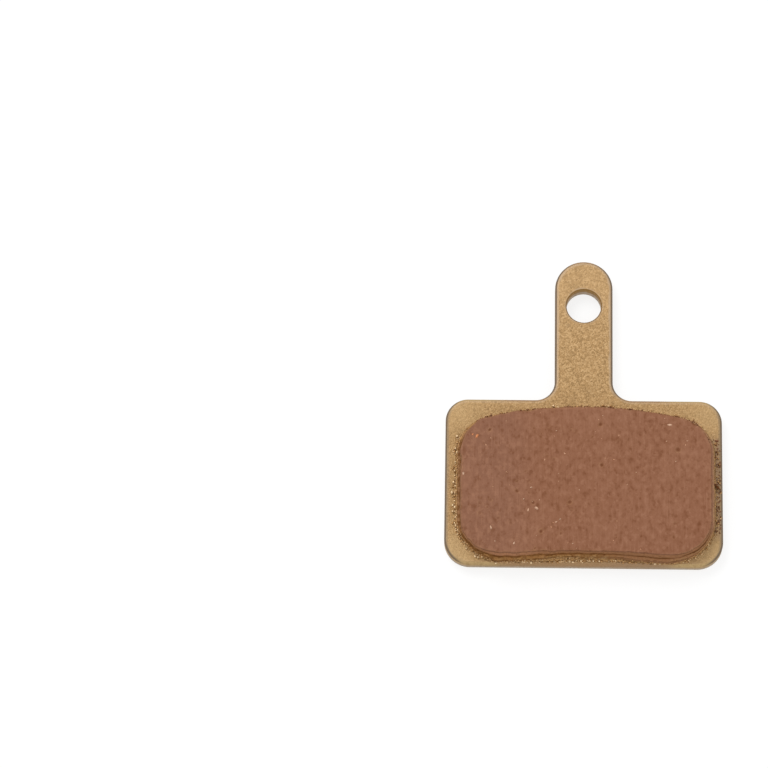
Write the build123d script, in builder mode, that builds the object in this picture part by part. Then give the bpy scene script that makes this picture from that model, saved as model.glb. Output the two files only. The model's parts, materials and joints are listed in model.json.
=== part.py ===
from build123d import *

import os
from math import atan2, hypot, radians, tan

# A bicycle disc brake pad: a stamped backing plate, a sintered bonding layer and a friction lining.
# Millimetres. The pad lies on its back: the back face is z = 0, the friction face looks up (+Z) and the
# hanger tab points along +Y. The origin is the middle of the plate's body, where the piston pushes.

# Backing plate: the body and its hanger tab, stamped from sheet
PLATE_WIDTH = 30.0
PLATE_HEIGHT = 18.6
PLATE_THICKNESS = 1.8
SHOULDER_RADIUS = 2.45
LOWER_CORNER_RADIUS = 2.8
TAB_WIDTH = 6.3
TAB_LENGTH = 16.0
TAB_ROOT_RADIUS = 2.1
PIN_HOLE_DIAMETER = 3.8
PIN_HOLE_FROM_END = 5.2
KEY_HOLE_DIAMETER = 5.0
KEY_HOLE_SPACING = 15.5
KEY_HOLE_FROM_SHOULDER = 7.2

# What the press and the tumbling leave on the edges: a die roll on the back, a broken edge on the front
DIE_ROLL_WIDTH = 0.5
DIE_ROLL_DEPTH = 0.3
KEY_HOLE_ROLL_WIDTH = 0.85
KEY_HOLE_ROLL_DEPTH = 0.32
PIN_HOLE_BACK_BREAK = 0.2
PIN_HOLE_FRONT_BREAK = 0.08
FRONT_EDGE_BREAK = 0.2

# Friction lining: the bare rim of plate beside its face, its outline and its stepped, drafted side
RIM_LEFT = 1.7
RIM_RIGHT = 1.3
RIM_TOP = 1.4
RIM_BOTTOM = 1.0
LINING_TOP_BOW = 2.0
LINING_BOTTOM_BOW = 0.45
LINING_CORNER_RADIUS = 3.9
LINING_FOOT_HEIGHT = 0.75
LINING_BLOCK_HEIGHT = 1.15
LINING_LEDGE = 0.28
LINING_DRAFT = 3.0
FACE_EDGE_RADIUS = 0.12
LEDGE_EDGE_BREAK = 0.08

# Bonding layer: the powder between plate and lining, its bead, and its plugs in the key holes
BOND_THICKNESS = 0.3
BOND_BEAD = 0.2
BOND_BEAD_BREAK = 0.12
PLUG_RECESS = 0.3

# Places that follow from the sizes
shoulder_y = PLATE_HEIGHT / 2
tab_end_y = shoulder_y + TAB_LENGTH
tab_arc_y = tab_end_y - TAB_WIDTH / 2
pin_hole_y = tab_end_y - PIN_HOLE_FROM_END
key_hole_y = shoulder_y - KEY_HOLE_FROM_SHOULDER
bond_top = PLATE_THICKNESS + BOND_THICKNESS
ledge_z = bond_top + LINING_FOOT_HEIGHT
draft_slope = tan(radians(LINING_DRAFT))
block_growth = LINING_BLOCK_HEIGHT * draft_slope
foot_growth = LINING_FOOT_HEIGHT * draft_slope + LINING_LEDGE + block_growth
bead_break = min(BOND_BEAD_BREAK, 0.9 * BOND_THICKNESS)

# The die roll is a slope between two rounds: a wide one into the back face, a tight one into the wall
die_roll_slope = hypot(DIE_ROLL_WIDTH, DIE_ROLL_DEPTH)
die_roll_angle = atan2(DIE_ROLL_DEPTH, DIE_ROLL_WIDTH)
die_roll_crest_radius = 0.5 * die_roll_slope / tan(die_roll_angle / 2)
die_roll_edge_radius = 0.3 * die_roll_slope / tan((radians(90) - die_roll_angle) / 2)

# The lining's face from above: straight sides, the upper edge bowed out, the lower edge hollow
left_x = -PLATE_WIDTH / 2 + RIM_LEFT
right_x = PLATE_WIDTH / 2 - RIM_RIGHT
upper_y = shoulder_y - RIM_TOP - LINING_TOP_BOW
lower_y = -shoulder_y + RIM_BOTTOM - LINING_BOTTOM_BOW
with BuildSketch() as lining_face:
    with BuildLine():
        SagittaArc((left_x, lower_y), (right_x, lower_y), LINING_BOTTOM_BOW)
        Line((right_x, lower_y), (right_x, upper_y))
        SagittaArc((right_x, upper_y), (left_x, upper_y), -LINING_TOP_BOW)
        Line((left_x, upper_y), (left_x, lower_y))
    make_face()
    fillet(lining_face.vertices(), LINING_CORNER_RADIUS)

# The punch that makes a key hole: straight, then flared where the die lets the back face sink in
key_hole_radius = KEY_HOLE_DIAMETER / 2
with BuildPart() as key_hole_punch:
    with BuildSketch(Plane.XZ):
        with BuildLine():
            flare = TangentArc(
                (key_hole_radius + KEY_HOLE_ROLL_WIDTH, 0),
                (key_hole_radius, KEY_HOLE_ROLL_DEPTH),
                tangent=(-1, 0),
            )
            Polyline(flare @ 1, (key_hole_radius, PLATE_THICKNESS), (0, PLATE_THICKNESS), (0, 0), flare @ 0)
        make_face()
    revolve(axis=Axis.Z)

# The punch that makes the pin hole, with a broken edge at both ends
pin_hole_radius = PIN_HOLE_DIAMETER / 2
with BuildPart() as pin_hole_punch:
    with BuildSketch(Plane.XZ):
        with BuildLine():
            Polyline(
                (0, 0),
                (pin_hole_radius + PIN_HOLE_BACK_BREAK, 0),
                (pin_hole_radius, PIN_HOLE_BACK_BREAK),
                (pin_hole_radius, PLATE_THICKNESS - PIN_HOLE_FRONT_BREAK),
                (pin_hole_radius + PIN_HOLE_FRONT_BREAK, PLATE_THICKNESS),
                (0, PLATE_THICKNESS),
                close=True,
            )
        make_face()
    revolve(axis=Axis.Z)

# Backing plate: a blank with its tab, its back edge rolled over by the die, then pierced
with BuildPart() as backing_plate:
    with BuildSketch() as blank:
        Rectangle(PLATE_WIDTH, PLATE_HEIGHT)
        fillet(blank.vertices().group_by(Axis.Y)[0], LOWER_CORNER_RADIUS)
        fillet(blank.vertices().group_by(Axis.Y)[-1], SHOULDER_RADIUS)
        Rectangle(TAB_WIDTH, tab_arc_y, align=(Align.CENTER, Align.MIN))
        with Locations((0, tab_arc_y)):
            Circle(TAB_WIDTH / 2)
        fillet(blank.vertices().sort_by_distance((0, shoulder_y))[:2], TAB_ROOT_RADIUS)
    extrude(amount=PLATE_THICKNESS)
    back = backing_plate.faces().sort_by(Axis.Z)[0]
    chamfer(back.edges(), DIE_ROLL_WIDTH, DIE_ROLL_DEPTH, reference=back)
    fillet(backing_plate.edges().group_by(Axis.Z)[2], die_roll_edge_radius)
    fillet(backing_plate.faces().sort_by(Axis.Z)[0].edges(), die_roll_crest_radius)
    chamfer(backing_plate.faces().sort_by(Axis.Z)[-1].edges(), FRONT_EDGE_BREAK)
    with Locations((0, key_hole_y)):
        with GridLocations(KEY_HOLE_SPACING, 0, 2, 1):
            add(key_hole_punch.part, mode=Mode.SUBTRACT)
    with Locations((0, pin_hole_y)):
        add(pin_hole_punch.part, mode=Mode.SUBTRACT)

# Bonding layer: the sheet under the lining with its bead, and a plug down each key hole
with BuildPart() as bonding_layer:
    with BuildSketch(Plane.XY.offset(PLATE_THICKNESS)):
        offset(lining_face.sketch, amount=foot_growth + BOND_BEAD)
    extrude(amount=BOND_THICKNESS)
    chamfer(bonding_layer.faces().sort_by(Axis.Z)[-1].edges(), bead_break)
    with BuildSketch(Plane.XY.offset(PLUG_RECESS)):
        with Locations((0, key_hole_y)):
            with GridLocations(KEY_HOLE_SPACING, 0, 2, 1):
                Circle(key_hole_radius)
    extrude(amount=PLATE_THICKNESS - PLUG_RECESS)

# Friction lining: a wider foot and the block on it, both drafted for the pressing die
with BuildPart() as friction_lining:
    with BuildSketch(Plane.XY.offset(bond_top)):
        offset(lining_face.sketch, amount=foot_growth)
    extrude(amount=LINING_FOOT_HEIGHT, taper=LINING_DRAFT)
    chamfer(friction_lining.faces().sort_by(Axis.Z)[-1].edges(), LEDGE_EDGE_BREAK)
    with BuildSketch(Plane.XY.offset(ledge_z)):
        offset(lining_face.sketch, amount=block_growth)
    extrude(amount=LINING_BLOCK_HEIGHT, taper=LINING_DRAFT)
    fillet(friction_lining.faces().sort_by(Axis.Z)[-1].edges(), FACE_EDGE_RADIUS)

backing_plate.part.label = "backing_plate"
bonding_layer.part.label = "bonding_layer"
friction_lining.part.label = "friction_lining"

os.makedirs("parts", exist_ok=True)
export_step(backing_plate.part, "parts/backing_plate.step")
export_step(bonding_layer.part, "parts/bonding_layer.step")
export_step(friction_lining.part, "parts/friction_lining.step")
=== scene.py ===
"""Dresses a bicycle disc brake pad: its plated stamping, its brass powder bond and its friction lining."""
import json
import math
import random

import bmesh
import bpy
from bpy.props import FloatProperty, FloatVectorProperty, IntProperty, PointerProperty
from mathutils import Matrix, Quaternion, Vector, kdtree, noise


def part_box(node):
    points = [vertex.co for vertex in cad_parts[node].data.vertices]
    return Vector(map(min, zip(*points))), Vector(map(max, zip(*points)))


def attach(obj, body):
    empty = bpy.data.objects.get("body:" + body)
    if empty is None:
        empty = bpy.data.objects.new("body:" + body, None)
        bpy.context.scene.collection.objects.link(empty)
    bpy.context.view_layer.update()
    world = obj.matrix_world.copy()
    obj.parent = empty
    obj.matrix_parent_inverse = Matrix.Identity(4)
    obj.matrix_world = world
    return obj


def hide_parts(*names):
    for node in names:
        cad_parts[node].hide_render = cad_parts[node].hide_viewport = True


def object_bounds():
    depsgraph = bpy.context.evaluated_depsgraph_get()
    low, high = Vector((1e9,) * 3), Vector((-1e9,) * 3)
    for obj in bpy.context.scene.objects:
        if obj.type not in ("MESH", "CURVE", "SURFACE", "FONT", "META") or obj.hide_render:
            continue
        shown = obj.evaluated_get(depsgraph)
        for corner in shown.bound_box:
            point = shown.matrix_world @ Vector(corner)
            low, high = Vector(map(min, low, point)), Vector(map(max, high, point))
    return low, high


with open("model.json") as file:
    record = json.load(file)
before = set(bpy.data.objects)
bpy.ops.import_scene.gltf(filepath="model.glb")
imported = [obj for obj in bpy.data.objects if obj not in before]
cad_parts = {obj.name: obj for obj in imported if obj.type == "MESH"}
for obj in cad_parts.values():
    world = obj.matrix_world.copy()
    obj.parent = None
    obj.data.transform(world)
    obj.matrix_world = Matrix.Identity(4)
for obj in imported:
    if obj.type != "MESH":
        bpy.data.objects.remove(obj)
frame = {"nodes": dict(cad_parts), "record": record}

bl_info = {
    "name": "Disc Brake Pad Finish",
    "version": (1, 0, 0),
    "blender": (4, 5, 0),
    "location": "View3D > Sidebar > Brake Pad",
    "description": "Builds the visible skin of a bicycle disc brake pad on its packed solids",
    "category": "Object",
}

MM = 0.001
BODY = "root"
UP = Vector((0.0, 0.0, 1.0))
WHITE = (1.0, 1.0, 1.0, 1.0)


def span(start, end):
    """A stretch over which something grows from nothing to full, from millimetres."""
    return start * MM, end * MM


# The pad's own levels and edges, from its solids
CAD_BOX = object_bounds()
PLATE_LOW, PLATE_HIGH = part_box("backing_plate")
BOND_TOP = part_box("bonding_layer")[1].z
LINING_LOW, LINING_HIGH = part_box("friction_lining")
FRICTION_FACE = LINING_HIGH.z
PLATE_FRONT = PLATE_HIGH.z
PIN_BORE = next(mount for mount in frame["record"]["mounts"] if mount["name"] == "pin_bore")
PIN_AXIS = Vector((*PIN_BORE["pos_m"][:2], 0.0))
# The top of the lining's foot, where its side steps in
LEDGE = 2.85 * MM

# Where the plate's finish changes: along the pad, away from its middle, up its wall, out from the pin hole
TAB_ROOT = span(6.0, 12.0)
TAB_END = span(15.0, 22.0)
UPPER_CORNERS = span(4.0, 7.5)
LOWER_CORNERS = span(-4.0, -7.5)
OUTER_CORNERS = span(9.5, 13.5)
WALL_CORNERS = span(7.5, 10.5)
# OUTER_RIM and ROUNDED_EDGE also bound the painted shade on the front's left and right edges
OUTER_RIM = span(14.2, 14.6)
BARE_WALL = span(1.38, 1.16)
ROUNDED_EDGE = span(1.42, 1.58)
PIN_HOLE_WALL = span(2.6, 2.3)
PIN_HOLE_EDGE = span(2.06, 1.96)

# Brake dust packed on the right rim: its middle, its reach along the rim, and where plate and bead have it
DUST_MIDDLE = -0.4 * MM
DUST_REACH = span(6.4, 4.4)
DUSTY_PLATE = span(13.3, 14.2)
DUSTY_BEAD = span(12.9, 13.6)

# Painted shade, brown, along the right half of the lower edge: its left end, its right end and its upper
# edge
PLATE_LOW_RIGHT_SHADE = (span(1.0, 5.0), span(10.5, 8.5), span(-8.5, -9.0))
POWDER_LOW_RIGHT_SHADE = (span(2.0, 6.0), span(10.5, 8.5), span(-8.0, -8.5))

# Where the powder is that of a plug, and scorched spots on the plugs: their middles and how far they reach
PLUG_DEPTH = span(0.9, 0.6)
PLUG_STAINS = (
    (Vector((-5.55, 1.10, 0.0)) * MM, 1.3 * MM),
    (Vector((-9.30, 3.90, 0.0)) * MM, 1.0 * MM),
    (Vector((5.40, 1.70, 0.0)) * MM, 0.9 * MM),
)

# Where the lining's finish changes: up its side, along the pad and across it
FOOT_TOP = (LEDGE + 0.05 * MM, LEDGE - 0.05 * MM)
BLOCK_WALL = (FRICTION_FACE - 0.85 * MM, FRICTION_FACE - 0.65 * MM)
GROUND_FACE = (FRICTION_FACE - 0.30 * MM, FRICTION_FACE - 0.10 * MM)
LOWER_SIDE = span(-4.5, -7.0)
RIGHT_LIGHT_REACH = span(-6.5, -4.5)
LEFT_SIDE = span(-13.15, -13.35)
RIGHT_SIDE = span(13.3, 13.7)
HAZY_LEFT = span(-4.0, -9.0)
PALE_RIGHT = span(1.0, 5.0)
ROUGH_LEFT = span(-7.0, -9.5)
ROUGH_MIDDLE = span(4.0, 0.0)
SOFT_LEFT = span(-3.0, -8.0)
# Below: where the painted highlight on the ledge turns brighter round the lower right corner and redder on
# the right half, and where painted glints lie on the foot
CORNER_HIGHLIGHT = span(8.5, 10.5)
# The same for what has two ends: the left one and the right one
BRIGHT_FOOT = (span(-5.0, -3.0), span(4.0, 2.0))
PALE_WALL = (span(-11.5, -9.5), span(-3.0, -7.0))
RUDDY_HIGHLIGHT = (span(0.0, 4.0), span(11.0, 9.5))

# The lining's lower corners from above: the middles of their arcs, and the reach of the block itself
LOWER_ARCS = (Vector((-9.40, -4.63)) * MM, Vector((9.80, -4.63)) * MM)
BLOCK_ARC = 3.96 * MM
# How much of what stands out beyond the block is missing half way round each of those corners
CORNER_LOSSES = (0.85, 0.50)

# Either side of its hollow middle the lining's lower edge bulges: the two ends of each bulge, and its edge
LOWER_BULGES = (
    (span(-1.5, -8.4), span(-10.8, -9.1)),
    (span(2.5, 8.3), span(11.2, 8.8)),
)
BULGING_EDGE = span(-6.9, -8.0)
BULGE = 0.36 * MM
# How much of the bulge the bead, the foot, the bottom of the block and its face take
BEAD_SHARE = 0.30
FOOT_SHARE = 0.75
WALL_SHARE = 0.85
FACE_SHARE = 0.35

# Two corner points closer than this are one
MERGE_DISTANCE = 1e-7
# Two heights closer than this are one
SAME_LEVEL = 0.01 * MM
# Faces that meet at less than the first angle are one, and at more than the second keep a crisp edge
FLAT_ANGLE = math.radians(0.3)
CRISP_ANGLE = math.radians(32)
# A face counts as level when its normal is this upright
LEVEL = 0.99
# The depth of the fine relief that only the shading draws
RELIEF_DEPTH = 0.03 * MM
# How thick loose grains and crumbs are, as a share of their width
THICKNESS = (0.5, 0.8)


def colour(name, description, default):
    """A colour setting, in linear light."""
    return FloatVectorProperty(
        name=name, description=description, default=default, size=3, min=0.0, max=1.0, subtype="COLOR"
    )


def number(name, description, default, **kind):
    """A number setting from 0 up."""
    return FloatProperty(name=name, description=description, default=default, min=0.0, **kind)


def length(name, description, millimetres):
    """A length setting, stored in metres."""
    return number(name, description, millimetres * MM, precision=6, unit="LENGTH")


def whiteness(name, description, default):
    """A share of full white."""
    return number(name, description, default, soft_max=1.0, subtype="FACTOR")


def count(name, description, default):
    """A whole number from 0 up."""
    return IntProperty(name=name, description=description, default=default, min=0)


class PlateFinish(bpy.types.PropertyGroup):
    """Finish of the stamped backing plate."""

    front_gold: colour("Front gold", "Plating on the lining's side", (0.440, 0.272, 0.122))
    front_shade: colour("Front shade", "Plating between its grains", (0.235, 0.138, 0.056))
    front_glint: colour("Front glint", "Plating on the tops of its grains", (0.610, 0.410, 0.210))
    corner_gold: colour("Clean gold", "Plating in the corners of the front", (0.560, 0.395, 0.200))
    back_gold: colour("Back gold", "Smooth plating on the piston's side", (0.602, 0.419, 0.180))
    rubbed_rim: colour("Rubbed rim", "Plating rubbed thin round the front", (0.525, 0.385, 0.250))
    plated_wall: colour("Plated wall", "Upper part of the wall", (0.380, 0.230, 0.118))
    corner_wall: colour("Corner wall", "Upper part of the wall towards the corners", (0.500, 0.345, 0.165))
    # Painted shade and dark reflection on the rounded front edge at the left and right, and on the rim
    # beside it
    painted_edge_shade: colour("Shaded edge", "Rounded front edge on the left and right", (0.190, 0.140, 0.098))
    bore_wall: colour("Bore wall", "Wall of the pin hole", (0.310, 0.165, 0.040))
    # Painted shade on the pin hole's broken front edge
    shaded_bore_edge: colour("Bore edge", "Darkened edge of the pin hole", (0.150, 0.085, 0.034))
    sheared_steel: colour("Sheared steel", "Thinly plated lower part of the wall", (0.470, 0.385, 0.310))
    edge_tint: colour("Edge tint", "Colour of the plating's glancing reflections", (0.780, 0.650, 0.480))
    # Brake dust on the rim, and the colour of the painted shade along the right half of the lower edge
    dust_and_shade: colour("Grime", "Brake dust on the rim and smear along the lower edge", (0.350, 0.228, 0.140))
    grain: length("Grain", "Width of the front plating's grains", 0.16)
    edge_round: length("Edge round", "Rounding of the broken front edge", 0.11)
    front_rim: length("Worn edge", "Width of the rubbed rim round the front", 0.24)


class BondFinish(bpy.types.PropertyGroup):
    """Finish of the sintered brass powder between plate and lining."""

    brass: colour("Brass", "Powder grains", (0.515, 0.291, 0.112))
    # The palest grains' colour: pale powder on the plugs, painted glints on the bead
    glint: colour("Glint", "Cleanest powder grains", (0.860, 0.640, 0.380))
    plug_pale: colour("Plug pale", "Pressed powder of the plugs", (0.900, 0.668, 0.385))
    crevice: colour("Crevice", "Dark gaps between the grains", (0.225, 0.120, 0.045))
    voxel: length("Voxel", "Mesh step of the powder's skin", 0.11)
    lump: length("Lump", "Size of the powder's lumps", 0.30)
    lump_depth: length("Lump depth", "Depth of the gaps between lumps", 0.05)
    smallest_grain: length("Smallest grain", "Width of the finest loose grain", 0.13)
    largest_grain: length("Largest grain", "Width of the coarsest loose grain", 0.38)
    spill: length("Spill", "How far grains stray from the bead on the plate", 0.16)
    bead_grains: count("Bead grains", "Grains tried along the bead", 900)
    foot_grains: count("Foot grains", "Grains tried on the lining's foot", 700)
    plug_grains: count("Plug grains", "Grains on the two plugs", 900)
    seed: count("Seed", "Seed of the grains' places", 11)


class LiningFinish(bpy.types.PropertyGroup):
    """Finish of the sintered friction lining."""

    brown: colour("Brown", "Main colour of the ground face", (0.291, 0.125, 0.067))
    hazed: colour("Hazed", "Greyer left part of the face", (0.258, 0.127, 0.085))
    dark: colour("Dark", "Pits and dark mineral grains", (0.176, 0.059, 0.021))
    light: colour("Light", "Pale mineral grains", (0.385, 0.185, 0.110))
    side: colour("Side", "Pressed skin of the sides", (0.355, 0.178, 0.082))
    # Lower foot and wall: lighter, more golden copies of the side's colours, painted light on the lower
    # side, which lies in shade
    lower_foot: colour("Lower foot", "Lower side, below the ledge", (0.430, 0.192, 0.062))
    lower_wall: colour("Lower wall", "Lower side, above the ledge", (0.450, 0.210, 0.094))
    pale_wall: colour("Pale wall", "Pale patches on the sides, most at the left", (0.560, 0.260, 0.130))
    # The colour of the painted shade on the sides, and of the dark grain and blotches there
    crevice: colour("Crevice", "Shaded corner above the ledge", (0.150, 0.050, 0.006))
    # Painted highlight, brightest gold, on the ledge round the lower right corner, and painted glints on
    # the foot
    corner_highlight: colour("Corner lip", "Rubbed lip round the lower right corner", (0.680, 0.430, 0.205))
    # Painted highlight on the ledge's golden lip and on the face's edge
    ledge_highlight: colour("Lip", "Rubbed edge of the ledge", (0.560, 0.315, 0.118))
    fleck_pale: colour("Pale fleck", "Pale metal flecks in the face", (0.720, 0.470, 0.320))
    fleck_copper: colour("Copper fleck", "Bright copper fleck in the face", (0.900, 0.330, 0.120))
    voxel: length("Voxel", "Mesh step of the lining's skin", 0.11)
    ground_depth: length("Ground depth", "How far grinding leaves the face below its flecks", 0.012)
    pit_depth: length("Pit depth", "Depth of the deepest pits in the face", 0.09)
    side_depth: length("Side depth", "Roughness of the pressed sides", 0.05)
    chip_depth: length("Chip depth", "Depth of the chips along the face's edge", 0.15)
    pits: count("Pits", "Small pits in the face", 150)
    flecks: count("Flecks", "Small metal flecks in the face", 40)
    crumbs: count("Crumbs", "Crumbs tried on the lining's top edge, and as many beside it", 170)
    seed: count("Seed", "Seed of the pits, flecks and crumbs", 5)


class StageFinish(bpy.types.PropertyGroup):
    """Camera, lights and floor."""

    floor_white: colour("Floor white", "Pale floor under the pad", (0.26, 0.26, 0.26))
    floor_lift: whiteness("Floor lift", "White that the open floor shows", 0.79)
    sky_light: whiteness("Sky light", "Even light from all round", 0.72)
    key_power: number("Key power", "Soft lamp's power", 1.6, unit="POWER")
    key_size: length("Key size", "Side of the soft lamp", 340.0)
    lens: number("Lens", "Focal length, in millimetres", 172.416, unit="CAMERA")
    roll: FloatProperty(
        name="Roll", description="Turn of the camera", default=math.radians(-4.333), subtype="ANGLE"
    )


class BrakePadFinish(bpy.types.PropertyGroup):
    """Everything that a user may change."""

    plate: PointerProperty(type=PlateFinish)
    bond: PointerProperty(type=BondFinish)
    lining: PointerProperty(type=LiningFinish)
    stage: PointerProperty(type=StageFinish)


class NodeSheet:
    """The nodes of a material or a world."""

    def __init__(self, owner):
        self.owner = owner
        owner.use_nodes = True
        self.tree = owner.node_tree
        self.tree.nodes.clear()

    def add(self, kind, inputs=(), **settings):
        """A new node, with its settings made and its inputs set or linked."""
        node = self.tree.nodes.new(kind)
        for key, value in settings.items():
            setattr(node, key, value)
        for key, value in dict(inputs).items():
            if isinstance(value, bpy.types.NodeSocket):
                self.tree.links.new(value, node.inputs[key])
            else:
                node.inputs[key].default_value = value
        return node

    def math(self, operation, *values):
        """One sum of numbers or sockets."""
        return self.add("ShaderNodeMath", enumerate(values), operation=operation).outputs[0]

    def seen(self):
        """1 for what is seen, straight, mirrored or through glass, and 0 for what only gives light."""
        rays = self.add("ShaderNodeLightPath").outputs
        straight = self.math("MAXIMUM", rays["Is Camera Ray"], rays["Is Glossy Ray"])
        return self.math("MAXIMUM", straight, rays["Is Transmission Ray"])


class MaterialSheet(NodeSheet):
    """A material's nodes, with short ways to add the kinds that this pad needs."""

    def __init__(self, name):
        super().__init__(bpy.data.materials.new(name))
        places = self.add("ShaderNodeTexCoord").outputs
        self.place = places["Object"]
        self.normal = places["Normal"]
        self.x, self.y, self.z = self.add("ShaderNodeSeparateXYZ", {0: self.place}).outputs

    def part(self, value, share):
        """A share of a value."""
        return self.math("MULTIPLY", value, share)

    def fade(self, value, start, end):
        """0 where value is start, 1 where it is end, smooth between."""
        inputs = {"Value": value, "From Min": start, "From Max": end}
        return self.add("ShaderNodeMapRange", inputs, interpolation_type="SMOOTHSTEP").outputs[0]

    def band(self, value, first, last):
        """1 between two ends, each a stretch over which it fades in."""
        return self.part(self.fade(value, *first), self.fade(value, *last))

    def mix(self, factor, first, second):
        """Second colour laid over the first by factor."""
        inputs = {0: factor, 6: rgba(first), 7: rgba(second)}
        return self.add("ShaderNodeMix", inputs, data_type="RGBA").outputs[2]

    def layers(self, base, *layers):
        """A colour under others: for each a value, its start and end, the share covered and the colour."""
        for value, start, end, cover, tint in layers:
            base = self.mix(self.part(self.fade(value, start, end), cover), base, tint)
        return base

    def stretched(self, scale, shift=(0.0, 0.0, 0.0)):
        """Object coordinates, scaled and shifted."""
        inputs = {"Vector": self.place, "Scale": scale, "Location": shift}
        return self.add("ShaderNodeMapping", inputs).outputs[0]

    def noise(self, size, detail=2.0, roughness=0.5, vector=None):
        """Soft random field with features of a size in metres."""
        inputs = {"Vector": vector or self.place, "Scale": 1.0 / size}
        inputs |= {"Detail": detail, "Roughness": roughness}
        return self.add("ShaderNodeTexNoise", inputs).outputs[0]

    def streaks(self, scale, detail=2.0):
        """Soft random field that is drawn out: its features per metre along each axis."""
        return self.noise(1.0, detail, vector=self.stretched(scale))

    def cells(self, size, output="Distance"):
        """Random cells of a size in metres: the distance to their middle, or a colour each."""
        return self.add("ShaderNodeTexVoronoi", {"Vector": self.place, "Scale": 1.0 / size}).outputs[output]

    def attribute(self, name):
        """A number that the mesh carries at each corner point."""
        return self.add("ShaderNodeAttribute", attribute_name=name).outputs["Fac"]

    def bump(self, height):
        """A fine relief, drawn by the shading alone."""
        inputs = {"Height": height, "Distance": RELIEF_DEPTH, "Strength": 1.0}
        return self.add("ShaderNodeBump", inputs).outputs[0]

    def unsigned(self, value):
        """A number without its sign."""
        return self.math("ABSOLUTE", value)

    def length(self, vector):
        """How long a vector is."""
        return self.add("ShaderNodeVectorMath", {0: vector}, operation="LENGTH").outputs["Value"]

    def axis(self, vector, name):
        """One part of a vector: X, Y or Z."""
        return self.add("ShaderNodeSeparateXYZ", {0: vector}).outputs[name]

    def surface(self, **inputs):
        """Ends the sheet with its surface, and gives the material."""
        named = {key.replace("_", " "): value for key, value in inputs.items()}
        shader = self.add("ShaderNodeBsdfPrincipled", named)
        self.add("ShaderNodeOutputMaterial", {"Surface": shader.outputs[0]})
        return self.owner


def rgba(value):
    """A setting's colour with an alpha of 1, or a socket as it is."""
    return value if isinstance(value, bpy.types.NodeSocket) else (*value, 1.0)


def plated_steel(finish):
    """Gold plating: granular in front, brushed behind, thin and grey low on the sheared walls."""
    sheet = MaterialSheet("plated_steel_finish")
    upright = sheet.axis(sheet.normal, "Z")
    tab = sheet.fade(sheet.y, *TAB_ROOT)
    # The front's colour stops short on the rounded edge, which keeps the walls' darker colour as painted
    # shade, less so on the tab
    front = sheet.fade(upright, sheet.math("SUBTRACT", 0.94, sheet.part(tab, 0.10)), 0.999)
    back = sheet.fade(upright, -0.25, -0.80)
    grain = sheet.cells(finish.grain)
    dust = sheet.noise(finish.grain * 0.5, detail=3.0)
    brush = sheet.streaks((90.0, 5200.0, 90.0), detail=3.0)
    tear = sheet.streaks((3800.0, 3800.0, 320.0), detail=3.0)
    from_pin = sheet.length(sheet.stretched((1.0, 1.0, 0.0), -PIN_AXIS))

    face = plate_front(sheet, finish, tab, dust)
    skin = sheet.mix(front, plate_wall(sheet, finish, tear, from_pin), face)
    # Painted shade along the right half of the lower edge
    skin = sheet.mix(low_right_shade(sheet), skin, finish.dust_and_shade)
    # Painted shade round the pin hole's front edge
    skin = sheet.layers(skin, (from_pin, *PIN_HOLE_EDGE, front, finish.shaded_bore_edge))
    skin = sheet.mix(back, skin, plate_back(sheet, finish, brush))

    relief = sheet.math("SUBTRACT", sheet.part(dust, 1.4), sheet.part(grain, 0.6))
    scratches = sheet.part(sheet.part(brush, back), 0.05)
    streaks = sheet.part(sheet.part(tear, 0.8), sheet.fade(sheet.unsigned(upright), 0.7, 0.2))
    bumps = sheet.math("ADD", sheet.math("ADD", sheet.part(relief, front), scratches), streaks)
    return sheet.surface(
        Base_Color=skin,
        Metallic=0.65,
        Roughness=sheet.math("ADD", 0.42, sheet.part(front, 0.14)),
        Specular_Tint=rgba(finish.edge_tint),
        Normal=sheet.bump(bumps),
    )


def plate_front(sheet, finish, tab, dust):
    """Granular plating of the front, paler in its corners, dusty on the right and rubbed round its rim,
    with painted shade on the rim's left and right edges and painted light at the tab's end.
    """
    tint = sheet.axis(sheet.cells(finish.grain, "Color"), "X")
    cloud = sheet.noise(2.2 * MM, detail=3.0)
    speckle = sheet.math("ADD", 0.60, sheet.part(tab, 0.40))
    gold = sheet.layers(
        finish.front_gold,
        (tint, 0.45, 1.00, sheet.part(speckle, 0.75), finish.front_glint),
        (tint, 0.40, 0.00, sheet.part(speckle, 0.55), finish.front_shade),
        (dust, 0.47, 0.30, sheet.part(speckle, 0.75), finish.front_shade),
        (cloud, 0.48, 0.75, 0.22, finish.front_shade),
        # Painted light: lighter towards the end of the tab
        (sheet.y, *TAB_END, 0.22, finish.front_glint),
    )
    gold = sheet.mix(pale_corners(sheet), gold, finish.corner_gold)
    gold = sheet.mix(brake_dust(sheet), gold, finish.dust_and_shade)
    rim_mark = sheet.attribute("front_rim")
    ragged = sheet.math("ADD", rim_mark, sheet.part(sheet.noise(1.1 * MM), 1.2))
    outer = sheet.fade(sheet.unsigned(sheet.x), *OUTER_RIM)
    return sheet.layers(
        gold,
        (ragged, 0.75, 1.65, sheet.math("ADD", 0.15, sheet.part(tab, 0.60)), finish.rubbed_rim),
        # Painted shade and dark reflection on the rim's outer left and right edges
        (rim_mark, 0.35, 1.00, sheet.part(outer, 0.45), finish.painted_edge_shade),
    )


def plate_back(sheet, finish, brush):
    """Smooth, brushed plating of the back."""
    haze = sheet.noise(5.0 * MM)
    return sheet.layers(
        finish.back_gold,
        (brush, 0.35, 0.70, 0.16, finish.front_gold),
        (haze, 0.45, 0.75, 0.14, finish.front_gold),
    )


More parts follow.
